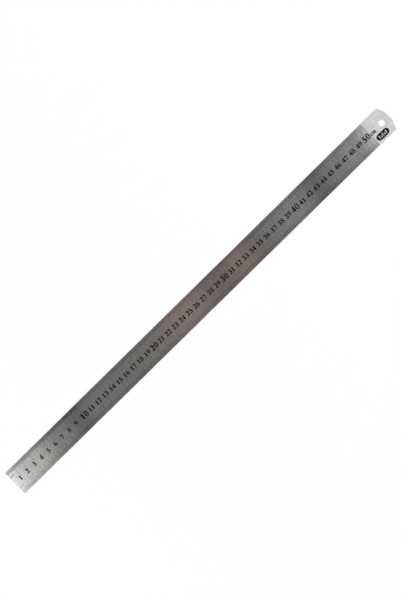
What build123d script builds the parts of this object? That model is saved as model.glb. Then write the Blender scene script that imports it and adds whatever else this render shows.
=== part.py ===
from build123d import *
from build123d.topology import SkipClean
import math
import os

os.makedirs("parts", exist_ok=True)

# Half-metre steel ruler, in millimetres.
# The ruler lies flat on its back, and z = 0 is the face it rests on.
# x is the reading of the scale: x = 0 is the square end, where the scale begins.
# y runs across the blade, from its centre line towards the tops of the numerals.

# Blade: one strip of spring steel, cut square at the zero end and to a shallow arc at the hang end
total_length = 531.7
width = 29.0
thickness = 1.0
edge_break = 0.1
end_arc_radius = 28.0
hang_hole_diameter = 7.0
hang_hole_from_tip = 10.0
half_width = width / 2

# Etching: every mark is a shallow pocket, filled with enamel to just under the steel
etch_depth = 0.06
fill_recess = 0.01
graduation_line = 0.21

# The blade is made in panels a centimetre long, with seams that pass between the marks
seam_offset = 5.25

# Scale: both long edges read in centimetres from the zero end
scale_centimetres = 50
scale_end = 505.0
fine_scale_end = 100
millimetre_length = 4.5
half_millimetre_length = 3.6
half_centimetre_length = 8.0
centimetre_length = 11.1
scale_end_gap = 3.6

# Numerals along the centre line, two digits astride their centimetre line
digit_height = 5.2
digit_baseline = -2.45
digit_offset = 1.88
tens_height = 6.5
tens_baseline = -3.05
tens_offset = 2.35
unit_height = 3.3
unit_baseline = -2.75
unit_c_centre = 506.3
unit_m_centre = 509.85

# Two short lines along the blade at the zero end, the lower one finer
zero_line_offset = 7.2
zero_line_start = 0.4
top_zero_line_width = 0.6
top_zero_line_end = 5.6
bottom_zero_line_width = 0.45
bottom_zero_line_end = 4.8

# Maker's field beside the hang hole: dark enamel round a row of steel ticks left standing
label_length = 15.6
label_height = 6.8
label_centre_x = 514.6
label_centre_y = -8.85
label_tick_width = 0.8
label_tick_pitch = 2.2
label_tick_foot = -1.8
label_long_tick = 3.6
label_short_tick = 2.2
label_ticks_each_side = 2


def outline(start, *runs):
    """A flat face inside a closed outline. Each run is the points that follow the last one:
    one point for a straight run, three for a cubic curve with two control points."""
    edges = []
    here = start
    for run in runs + ((start,),):
        if run[-1] == here:
            continue
        edges.append(Line(here, run[0]) if len(run) == 1 else Bezier(here, *run))
        here = run[-1]
    return Face(Wire(edges))


def oval(x, y, x_radius, y_radius):
    return Pos(x, y) * Ellipse(x_radius, y_radius).face()


def digit_zero():
    return oval(32, 50, 32, 51) - oval(32, 50, 10, 44)


def digit_one():
    return outline(
        (10, 0),
        ((56, 0),),
        ((56, 6),),
        ((49, 7), (46, 10), (46, 17)),
        ((46, 101),),
        ((40, 101),),
        ((31, 92), (20, 87), (7, 86)),
        ((7, 80),),
        ((15, 80), (19, 78), (19, 71)),
        ((19, 17),),
        ((19, 10), (17, 7), (10, 6)),
    )


def digit_two():
    return outline(
        (2, 0),
        ((57, 0),),
        ((63, 34),),
        ((57, 34),),
        ((54, 25), (50, 22), (42, 22)),
        ((25, 22),),
        ((46, 39), (61, 52), (61, 73)),
        ((61, 91), (48, 102), (31, 102)),
        ((15, 102), (4, 91), (2, 71)),
        ((8, 69),),
        ((12, 77), (17, 81), (23, 81)),
        ((30, 81), (34, 76), (34, 66)),
        ((34, 48), (20, 28), (2, 7)),
    )


def digit_three():
    return outline(
        (4, 75),
        ((9, 92), (20, 102), (34, 102)),
        ((49, 102), (59, 92), (59, 79)),
        ((59, 69), (53, 62), (46, 57)),
        ((57, 52), (64, 44), (64, 32)),
        ((64, 11), (47, -1), (24, -1)),
        ((9, -1), (1, 4), (1, 12)),
        ((1, 20), (6, 24), (13, 24)),
        ((22, 24), (23, 11), (31, 11)),
        ((36, 11), (38, 17), (38, 26)),
        ((38, 37), (31, 43), (18, 44)),
        ((18, 52),),
        ((29, 55), (34, 62), (34, 72)),
        ((34, 79), (30, 84), (24, 84)),
        ((18, 84), (14, 80), (11, 73)),
    )


def digit_four():
    body = outline(
        (31, 0),
        ((57, 0),),
        ((57, 20),),
        ((66, 20),),
        ((66, 38),),
        ((57, 38),),
        ((57, 101),),
        ((43, 101),),
        ((0, 38),),
        ((0, 20),),
        ((31, 20),),
    )
    counter = outline((11, 38), ((31, 38),), ((31, 69),))
    return body - counter


def digit_five():
    return outline(
        (18, 99),
        ((59, 99),),
        ((52, 77),),
        ((23, 77),),
        ((22, 72),),
        ((46, 69), (64, 58), (64, 35)),
        ((64, 12), (46, -1), (24, -1)),
        ((9, -1), (1, 4), (1, 12)),
        ((1, 20), (6, 24), (13, 24)),
        ((22, 24), (23, 11), (31, 11)),
        ((36, 11), (38, 17), (38, 25)),
        ((38, 38), (27, 47), (6, 49)),
    )


def digit_six():
    body = outline(
        (58, 102),
        ((24, 99), (0, 75), (0, 39)),
        ((0, 14), (12, -1), (32, -1)),
        ((52, -1), (64, 12), (64, 31)),
        ((64, 51), (53, 62), (39, 62)),
        ((33, 62), (29, 60), (26, 58)),
        ((30, 79), (41, 91), (58, 96)),
    )
    return body - oval(33, 29, 8.5, 23)


def digit_seven():
    return outline(
        (7, 99),
        ((64, 99),),
        ((64, 93),),
        ((39, -1),),
        ((20, -1),),
        ((44, 76),),
        ((24, 76),),
        ((14, 76), (10, 73), (7, 64)),
        ((1, 65),),
    )


def digit_eight():
    body = oval(32, 75.5, 28, 26) + oval(32, 26.5, 32, 28)
    return body - oval(32.5, 77, 9, 16) - oval(31.5, 25, 10.5, 17.5)


def letter_c():
    return outline(
        (66, 27),
        ((60, 7), (49, -2), (36, -2)),
        ((14, -2), (1, 18), (1, 49)),
        ((1, 82), (17, 102), (38, 102)),
        ((56, 102), (67, 90), (67, 76)),
        ((67, 65), (61, 59), (54, 59)),
        ((43, 59), (47, 88), (39, 88)),
        ((34, 88), (33, 74), (33, 54)),
        ((33, 32), (38, 21), (47, 21)),
        ((54, 21), (57, 24), (61, 32)),
    )


def letter_m():
    return outline(
        (1, 0),
        ((43, 0),),
        ((43, 9),),
        ((39, 12),),
        ((39, 74),),
        ((41, 79), (43, 82), (46, 82)),
        ((50, 82), (51, 78), (51, 72)),
        ((51, 12),),
        ((47, 9),),
        ((47, 0),),
        ((88, 0),),
        ((88, 9),),
        ((84, 12),),
        ((84, 74),),
        ((86, 79), (88, 82), (91, 82)),
        ((95, 82), (96, 78), (96, 72)),
        ((96, 12),),
        ((92, 9),),
        ((92, 0),),
        ((133, 0),),
        ((133, 9),),
        ((128, 12),),
        ((128, 74),),
        ((128, 93), (121, 102), (108, 102)),
        ((97, 102), (89, 96), (83, 87)),
        ((79, 97), (73, 102), (63, 102)),
        ((53, 102), (45, 97), (39, 89)),
        ((39, 101),),
        ((1, 101),),
        ((1, 92),),
        ((7, 89),),
        ((7, 12),),
        ((1, 9),),
    )


glyph_grid_height = 100
glyphs = {
    "0": digit_zero(),
    "1": digit_one(),
    "2": digit_two(),
    "3": digit_three(),
    "4": digit_four(),
    "5": digit_five(),
    "6": digit_six(),
    "7": digit_seven(),
    "8": digit_eight(),
    "c": letter_c(),
    "m": letter_m(),
}


def character(symbol, height):
    """One character on the baseline at its printed height. A nine is a six upside down."""
    size = height / glyph_grid_height
    if symbol == "9":
        return Pos(0, height) * Rot(0, 0, 180) * scale(glyphs["6"], by=size)
    return scale(glyphs[symbol], by=size)


def centred(face, centre_x, baseline):
    return Pos(centre_x - face.bounding_box().center().X, baseline) * face


def numeral(centimetre):
    """The characters of one numeral. A single digit stands where the first of two would."""
    is_tens = centimetre % 10 == 0
    height = tens_height if is_tens else digit_height
    baseline = tens_baseline if is_tens else digit_baseline
    offset = tens_offset if is_tens else digit_offset
    return [
        centred(character(digit, height), 10 * centimetre + side * offset, baseline)
        for digit, side in zip(str(centimetre), (-1, 1))
    ]


def unit_letters():
    return [
        centred(character("c", unit_height), unit_c_centre, unit_baseline),
        centred(character("m", unit_height), unit_m_centre, unit_baseline),
    ]


def graduation(reading, length, edge):
    """One line of the scale, from just inside the edge break towards the centre line."""
    outer = half_width - edge_break
    middle = edge * (outer - (length - edge_break) / 2)
    return Pos(reading, middle) * Rectangle(graduation_line, length - edge_break).face()


def graduations(length, edge, chosen):
    """All the lines of one length on one edge: edge is 1 for the top and -1 for the bottom."""
    readings = [r / 2 for r in range(0, int(2 * scale_end)) if chosen(r / 2)]
    return [graduation(r, length, edge) for r in readings]


def is_half_millimetre(reading):
    return reading % 1 != 0 and reading < fine_scale_end


def is_millimetre(reading):
    return reading % 1 == 0 and reading % 5 != 0


def is_half_centimetre(reading):
    return reading % 10 == 5


def is_centimetre(reading):
    return reading % 10 == 0 and reading > 0


def zero_line(line_width, end, edge):
    middle = (zero_line_start + end) / 2
    line = Rectangle(end - zero_line_start, line_width).face()
    return Pos(middle, edge * zero_line_offset) * line


def label_field():
    """The maker's field: a dark pill with a row of bare steel ticks in it."""
    field = SlotOverall(label_length, label_height).face()
    for number in range(-label_ticks_each_side, label_ticks_each_side + 1):
        length = label_long_tick if number % label_ticks_each_side == 0 else label_short_tick
        tick = Rectangle(label_tick_width, length).face()
        field -= Pos(number * label_tick_pitch, label_tick_foot + length / 2) * tick
    return Pos(label_centre_x, label_centre_y) * field


# Every filled mark, by the sub-part that its enamel belongs to
marks = {
    "top_half_millimetre_marks": graduations(half_millimetre_length, 1, is_half_millimetre),
    "top_millimetre_marks": graduations(millimetre_length, 1, is_millimetre),
    "top_half_centimetre_marks": graduations(half_centimetre_length, 1, is_half_centimetre),
    "top_centimetre_marks": graduations(centimetre_length, 1, is_centimetre),
    "bottom_millimetre_marks": graduations(millimetre_length, -1, is_millimetre),
    "bottom_half_centimetre_marks": graduations(half_centimetre_length, -1, is_half_centimetre),
    "bottom_centimetre_marks": graduations(centimetre_length, -1, is_centimetre),
    "scale_end_marks": [
        graduation(scale_end, half_width - scale_end_gap, edge) for edge in (1, -1)
    ],
    "zero_end_marks": [
        zero_line(top_zero_line_width, top_zero_line_end, 1),
        zero_line(bottom_zero_line_width, bottom_zero_line_end, -1),
    ],
    "unit_letters": unit_letters(),
    "label_field": [label_field()],
}
for decade in range(0, scale_centimetres, 10):
    marks[f"numerals_{decade + 1}_to_{decade + 10}"] = [
        character
        for centimetre in range(decade + 1, decade + 11)
        for character in numeral(centimetre)
    ]


def blade_outline():
    """The strip seen from above: three straight sides and the arc at the hang end."""
    rise = end_arc_radius - math.sqrt(end_arc_radius**2 - half_width**2)
    shoulder = total_length - rise
    sides = Polyline(
        (shoulder, half_width),
        (0, half_width),
        (0, -half_width),
        (shoulder, -half_width),
    )
    end_arc = ThreePointArc(
        (shoulder, -half_width),
        (total_length, 0),
        (shoulder, half_width),
    )
    return Face(Wire(sides.edges() + end_arc.edges()))


def blade():
    """The steel: edges broken all round, the hang hole, and a pocket for every mark."""
    hang_hole = Pos(total_length - hang_hole_from_tip, 0) * Circle(hang_hole_diameter / 2).face()
    strip = extrude(blade_outline() - hang_hole, thickness)
    strip = chamfer(strip.edges().filter_by(Plane.XY), edge_break)
    pockets = [
        Pos(0, 0, thickness - etch_depth) * extrude(face, 2 * etch_depth, dir=(0, 0, 1))
        for faces in marks.values()
        for face in faces
    ]
    seams = [10 * centimetre + seam_offset for centimetre in range(1, scale_centimetres)]
    ends = [-width] + seams + [total_length + width]
    panels = []
    for low, high in zip(ends, ends[1:]):
        slab = Pos((low + high) / 2, 0) * Box(high - low, 2 * width, 4 * thickness)
        cuts = [p for p in pockets if low < p.bounding_box().center().X < high]
        panels.append((strip & slab).cut(*cuts))
    with SkipClean():
        return panels[0].fuse(*panels[1:])


def enamel(faces):
    """The enamel in one family of marks: one solid in each pocket, just below the steel."""
    depth = etch_depth - fill_recess
    bodies = [extrude(face, depth, dir=(0, 0, 1)) for face in faces]
    return Pos(0, 0, thickness - etch_depth) * Compound(bodies)


export_step(blade(), "parts/blade.step", write_pcurves=False)
for name, faces in marks.items():
    export_step(enamel(faces), f"parts/{name}.step", write_pcurves=False)
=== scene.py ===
import math

import bpy
from mathutils import Matrix, Vector


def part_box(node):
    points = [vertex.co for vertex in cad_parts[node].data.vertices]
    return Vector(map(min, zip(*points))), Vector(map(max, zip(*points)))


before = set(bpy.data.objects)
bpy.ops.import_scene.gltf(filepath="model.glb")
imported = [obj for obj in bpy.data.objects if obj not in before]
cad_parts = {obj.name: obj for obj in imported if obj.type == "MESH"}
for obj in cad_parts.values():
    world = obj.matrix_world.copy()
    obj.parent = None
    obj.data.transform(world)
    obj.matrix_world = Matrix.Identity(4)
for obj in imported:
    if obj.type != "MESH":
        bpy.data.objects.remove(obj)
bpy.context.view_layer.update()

scene = bpy.context.scene

# The ruler's frame, in metres: +X along the scale, +Y across the blade, +Z out of its face
blade_low, blade_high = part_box("blade")
blade_length = blade_high.x - blade_low.x

# Camera: above the ruler, rolled so that the scale runs up to the right
image_height = 601
camera_distance = 1.5
camera_tilt = math.radians(2.55)
camera_roll = math.radians(44.49)
pixels_per_metre = 986.6
camera_target = Vector((0.2662, 0.00045, blade_high.z))
sensor_size = 24.0

# Steel: the scale's stretch is a shade darker than the bare tab beyond its last line
scale_end = 0.505
scale_edge = 0.0005
scale_base = 0.60
tab_base = 0.80

# Steel grain, drawn out along the blade: each is a length and a width in metres, and a detail
fine_grain = (0.03, 0.00012, 3)
broad_grain = (0.12, 0.0012, 4)
clouds = (0.035, 0.012, 3)
mottle = (0.004, 0.003, 2)
broad_share = 0.45
mottle_share = 0.5
cloud_share = 0.4
noise_range = (0.3, 0.7)
noise_roughness = 0.6
steel_shades = (0.84, 1.16)
steel_roughness = (0.09, 0.15)
steel_relief = 0.12

# Enamel: each has a tone where it is thin and one where it is thick
black_tones = (0.003, 0.001)
worn_tones = (0.05, 0.015)
black_gloss = 0.03
label_tones = ((0.007, 0.006, 0.018), (0.003, 0.002, 0.010))
label_gloss = 0.08
speckles_per_metre = 900
speckle_levels = (0.35, 0.6)
enamel_roughness = (0.42, 0.6)
enamel_relief = 0.3
relief_depth = 0.00001

# Studio: a floor with a wall round it
floor_radius = 18.0
floor_grey = 0.95
floor_roughness = 0.9
round_sides = 96
backdrop_height = 6.0
backdrop_light = 1.0

# Overhead card: the tone that the blade picks up from it, by reading in metres
card_height = 2.0
card_half_width = 4.0
card_margin = 0.15
reflected_tones = [
    (0.000, (234, 234, 233)),
    (0.006, (202, 202, 201)),
    (0.016, (176, 176, 174)),
    (0.034, (172, 172, 168)),
    (0.048, (142, 142, 139)),
    (0.060, (114, 114, 112)),
    (0.074, (122, 122, 121)),
    (0.093, (76, 76, 76)),
    (0.108, (110, 110, 110)),
    (0.160, (106, 106, 104)),
    (0.210, (111, 108, 105)),
    (0.250, (132, 115, 112)),
    (0.275, (110, 104, 102)),
    (0.303, (103, 96, 94)),
    (0.323, (130, 111, 108)),
    (0.345, (102, 99, 98)),
    (0.400, (125, 125, 125)),
    (0.418, (112, 112, 112)),
    (0.432, (84, 84, 84)),
    (0.458, (124, 124, 124)),
    (0.470, (98, 98, 98)),
    (0.475, (152, 152, 150)),
    (0.482, (124, 124, 122)),
    (0.490, (114, 113, 111)),
    (0.496, (140, 139, 137)),
    (0.503, (180, 180, 178)),
    (0.515, (188, 188, 188)),
    (0.530, (178, 178, 178)),
]

# Room light by elevation in degrees
sky_strength = 3.4
sky_levels = [(0, 0.5), (32, 0.45), (42, 1.0), (54, 3.4)]


def node_tree(owner):
    """An empty node tree and two short helpers: one adds a node, one links two sockets."""
    owner.use_nodes = True
    tree = owner.node_tree
    tree.nodes.clear()

    def add(kind, **settings):
        node = tree.nodes.new(kind)
        for name, value in settings.items():
            setattr(node, name, value)
        return node

    return add, tree.links.new


def set_ramp(node, stops, interpolation="LINEAR"):
    """Colour ramp stops, each a position and a grey level or a colour."""
    ramp = node.color_ramp
    ramp.interpolation = interpolation
    while len(ramp.elements) > 1:
        ramp.elements.remove(ramp.elements[-1])
    for index, (position, level) in enumerate(stops):
        element = ramp.elements[0] if index == 0 else ramp.elements.new(position)
        element.position = position
        colour = level if isinstance(level, tuple) else (level, level, level)
        element.color = (*colour, 1.0)


def make_camera():
    data = bpy.data.cameras.new("camera")
    camera = bpy.data.objects.new("camera", data)
    scene.collection.objects.link(camera)
    data.sensor_fit = "AUTO"
    data.sensor_width = sensor_size
    focal_pixels = pixels_per_metre * camera_distance
    data.lens = focal_pixels * sensor_size / image_height
    data.clip_start = 0.01
    data.clip_end = 100
    tilt = Matrix.Rotation(camera_tilt, 4, "Y")
    roll = Matrix.Rotation(-camera_roll, 4, "Z")
    back = tilt @ Vector((0, 0, 1))
    place = Matrix.Translation(camera_target + camera_distance * back)
    camera.matrix_world = place @ tilt @ roll
    scene.camera = camera


def steel_material():
    material = bpy.data.materials.new("brushed_steel")
    add, link = node_tree(material)
    output = add("ShaderNodeOutputMaterial")
    shader = add("ShaderNodeBsdfPrincipled")
    shader.inputs["Metallic"].default_value = 1.0
    shader.inputs["Anisotropic"].default_value = 1.0
    place = add("ShaderNodeTexCoord").outputs["Object"]

    def streaks(length, width, detail):
        """Noise drawn out along the blade, with streaks of that length and width in metres."""
        mapping = add("ShaderNodeMapping")
        mapping.inputs["Scale"].default_value = (1 / length, 1 / width, 1 / width)
        link(place, mapping.inputs["Vector"])
        noise = add("ShaderNodeTexNoise")
        noise.inputs["Scale"].default_value = 1.0
        noise.inputs["Detail"].default_value = detail
        noise.inputs["Roughness"].default_value = noise_roughness
        link(mapping.outputs["Vector"], noise.inputs["Vector"])
        return noise.outputs["Fac"]

    def mixed(first, second, share):
        mix = add("ShaderNodeMix", data_type="FLOAT")
        mix.inputs["Factor"].default_value = share
        link(first, mix.inputs[2])
        link(second, mix.inputs[3])
        return mix.outputs[0]

    def spread(value, low, high):
        remap = add("ShaderNodeMapRange")
        remap.inputs["From Min"].default_value = noise_range[0]
        remap.inputs["From Max"].default_value = noise_range[1]
        remap.inputs["To Min"].default_value = low
        remap.inputs["To Max"].default_value = high
        link(value, remap.inputs["Value"])
        return remap.outputs["Result"]

    grain = mixed(streaks(*fine_grain), streaks(*broad_grain), broad_share)
    shade = spread(mixed(grain, streaks(*mottle), mottle_share), *steel_shades)
    split = add("ShaderNodeSeparateXYZ")
    link(place, split.inputs["Vector"])
    finish = add("ShaderNodeMapRange")
    finish.inputs["From Min"].default_value = scale_end
    finish.inputs["From Max"].default_value = scale_end + scale_edge
    finish.inputs["To Min"].default_value = scale_base
    finish.inputs["To Max"].default_value = tab_base
    link(split.outputs["X"], finish.inputs["Value"])
    tone = add("ShaderNodeMath", operation="MULTIPLY")
    link(shade, tone.inputs[0])
    link(finish.outputs["Result"], tone.inputs[1])
    link(tone.outputs["Value"], shader.inputs["Base Color"])
    haze = mixed(grain, streaks(*clouds), cloud_share)
    link(spread(haze, *steel_roughness), shader.inputs["Roughness"])

    bump = add("ShaderNodeBump")
    bump.inputs["Strength"].default_value = steel_relief
    bump.inputs["Distance"].default_value = relief_depth
    link(grain, bump.inputs["Height"])
    link(bump.outputs["Normal"], shader.inputs["Normal"])
    across = add("ShaderNodeCombineXYZ")
    across.inputs["Y"].default_value = 1.0
    link(across.outputs["Vector"], shader.inputs["Tangent"])
    link(shader.outputs["BSDF"], output.inputs["Surface"])
    return material


def enamel_material(name, thin, thick, gloss):
    material = bpy.data.materials.new(name)
    add, link = node_tree(material)
    output = add("ShaderNodeOutputMaterial")
    shader = add("ShaderNodeBsdfPrincipled")
    shader.inputs["Specular IOR Level"].default_value = gloss
    place = add("ShaderNodeTexCoord").outputs["Object"]
    cover = add("ShaderNodeTexNoise")
    cover.inputs["Scale"].default_value = speckles_per_metre
    cover.inputs["Detail"].default_value = 4
    link(place, cover.inputs["Vector"])
    tone = add("ShaderNodeValToRGB")
    set_ramp(tone, list(zip(speckle_levels, (thin, thick))))
    link(cover.outputs["Fac"], tone.inputs["Fac"])
    link(tone.outputs["Color"], shader.inputs["Base Color"])
    rough = add("ShaderNodeMapRange")
    rough.inputs["To Min"].default_value = enamel_roughness[0]
    rough.inputs["To Max"].default_value = enamel_roughness[1]
    link(cover.outputs["Fac"], rough.inputs["Value"])
    link(rough.outputs["Result"], shader.inputs["Roughness"])
    bump = add("ShaderNodeBump")
    bump.inputs["Strength"].default_value = enamel_relief
    bump.inputs["Distance"].default_value = relief_depth
    link(cover.outputs["Fac"], bump.inputs["Height"])
    link(bump.outputs["Normal"], shader.inputs["Normal"])
    link(shader.outputs["BSDF"], output.inputs["Surface"])
    return material


def dress(node, material):
    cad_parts[node].data.materials.clear()
    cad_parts[node].data.materials.append(material)


def make_floor():
    bpy.ops.mesh.primitive_circle_add(
        vertices=round_sides, radius=floor_radius, fill_type="NGON"
    )
    floor = bpy.context.object
    floor.name = "floor"
    floor.location = (blade_length / 2, 0, blade_low.z)
    material = bpy.data.materials.new("floor")
    add, link = node_tree(material)
    output = add("ShaderNodeOutputMaterial")
    shader = add("ShaderNodeBsdfPrincipled")
    shader.inputs["Base Color"].default_value = (floor_grey, floor_grey, floor_grey, 1)
    shader.inputs["Roughness"].default_value = floor_roughness
    shader.inputs["Specular IOR Level"].default_value = 0.0
    link(shader.outputs["BSDF"], output.inputs["Surface"])
    floor.data.materials.append(material)


def make_backdrop():
    """A white wall round the floor, which only the camera sees: the steel reflects the room."""
    bpy.ops.mesh.primitive_cylinder_add(
        vertices=round_sides,
        radius=floor_radius,
        depth=backdrop_height,
        end_fill_type="NOTHING",
    )
    backdrop = bpy.context.object
    backdrop.name = "backdrop"
    backdrop.location = (blade_length / 2, 0, blade_low.z + backdrop_height / 2)
    backdrop.visible_diffuse = False
    backdrop.visible_glossy = False
    material = bpy.data.materials.new("backdrop")
    add, link = node_tree(material)
    output = add("ShaderNodeOutputMaterial")
    emission = add("ShaderNodeEmission")
    emission.inputs["Strength"].default_value = backdrop_light
    link(emission.outputs["Emission"], output.inputs["Surface"])
    backdrop.data.materials.append(material)


def linear(grey):
    """Light level of a display grey from 0 to 255, by the sRGB curve."""
    level = grey / 255
    return level / 12.92 if level <= 0.04045 else ((level + 0.055) / 1.055) ** 2.4


def mirrored(reading):
    """Where along the card the camera sees the blade's face reflect, for a place on the scale."""
    camera = scene.camera.matrix_world.translation
    return reading + (reading - camera.x) * card_height / (camera.z - blade_high.z)


def make_card():
    """A light card above the camera, with a tone for each stretch of the blade under it."""
    start = mirrored(0) - card_margin
    end = mirrored(blade_length) + card_margin
    mesh = bpy.data.meshes.new("overhead_card")
    height = blade_high.z + card_height
    corners = [
        (start, -card_half_width, height),
        (start, card_half_width, height),
        (end, card_half_width, height),
        (end, -card_half_width, height),
    ]
    mesh.from_pydata(corners, [], [(0, 1, 2, 3)])
    card = bpy.data.objects.new("overhead_card", mesh)
    scene.collection.objects.link(card)
    material = bpy.data.materials.new("overhead_card")
    add, link = node_tree(material)
    output = add("ShaderNodeOutputMaterial")
    emission = add("ShaderNodeEmission")
    place = add("ShaderNodeTexCoord").outputs["Object"]
    split = add("ShaderNodeSeparateXYZ")
    along = add("ShaderNodeMapRange")
    along.inputs["From Min"].default_value = start
    along.inputs["From Max"].default_value = end
    tones = add("ShaderNodeValToRGB")
    stops = [
        ((mirrored(reading) - start) / (end - start), tuple(linear(grey) for grey in tone))
        for reading, tone in reflected_tones
    ]
    set_ramp(tones, stops)
    link(place, split.inputs["Vector"])
    link(split.outputs["X"], along.inputs["Value"])
    link(along.outputs["Result"], tones.inputs["Fac"])
    link(tones.outputs["Color"], emission.inputs["Color"])
    emission.inputs["Strength"].default_value = 1 / scale_base
    link(emission.outputs["Emission"], output.inputs["Surface"])
    mesh.materials.append(material)
    card.visible_camera = False


def make_world():
    """A room that is mid grey low down and bright overhead."""
    world = bpy.data.worlds.new("studio")
    scene.world = world
    add, link = node_tree(world)
    output = add("ShaderNodeOutputWorld")
    background = add("ShaderNodeBackground")
    background.inputs["Strength"].default_value = sky_strength
    split = add("ShaderNodeSeparateXYZ")
    tones = add("ShaderNodeValToRGB")
    stops = [
        (math.sin(math.radians(elevation)), level / sky_strength)
        for elevation, level in sky_levels
    ]
    set_ramp(tones, stops, "EASE")
    link(add("ShaderNodeTexCoord").outputs["Generated"], split.inputs["Vector"])
    link(split.outputs["Z"], tones.inputs["Fac"])
    link(tones.outputs["Color"], background.inputs["Color"])
    link(background.outputs["Background"], output.inputs["Surface"])


make_camera()
make_floor()
make_backdrop()
make_card()
make_world()
steel = steel_material()
black_enamel = enamel_material("black_enamel", *black_tones, black_gloss)
worn_enamel = enamel_material("worn_enamel", *worn_tones, black_gloss)
label_enamel = enamel_material("label_enamel", *label_tones, label_gloss)
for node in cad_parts:
    if node == "blade":
        dress(node, steel)
    elif node == "label_field":
        dress(node, label_enamel)
    elif node.endswith("centimetre_marks"):
        dress(node, worn_enamel)
    else:
        dress(node, black_enamel)

scene.view_settings.view_transform = "Standard"
scene.view_settings.look = "None"
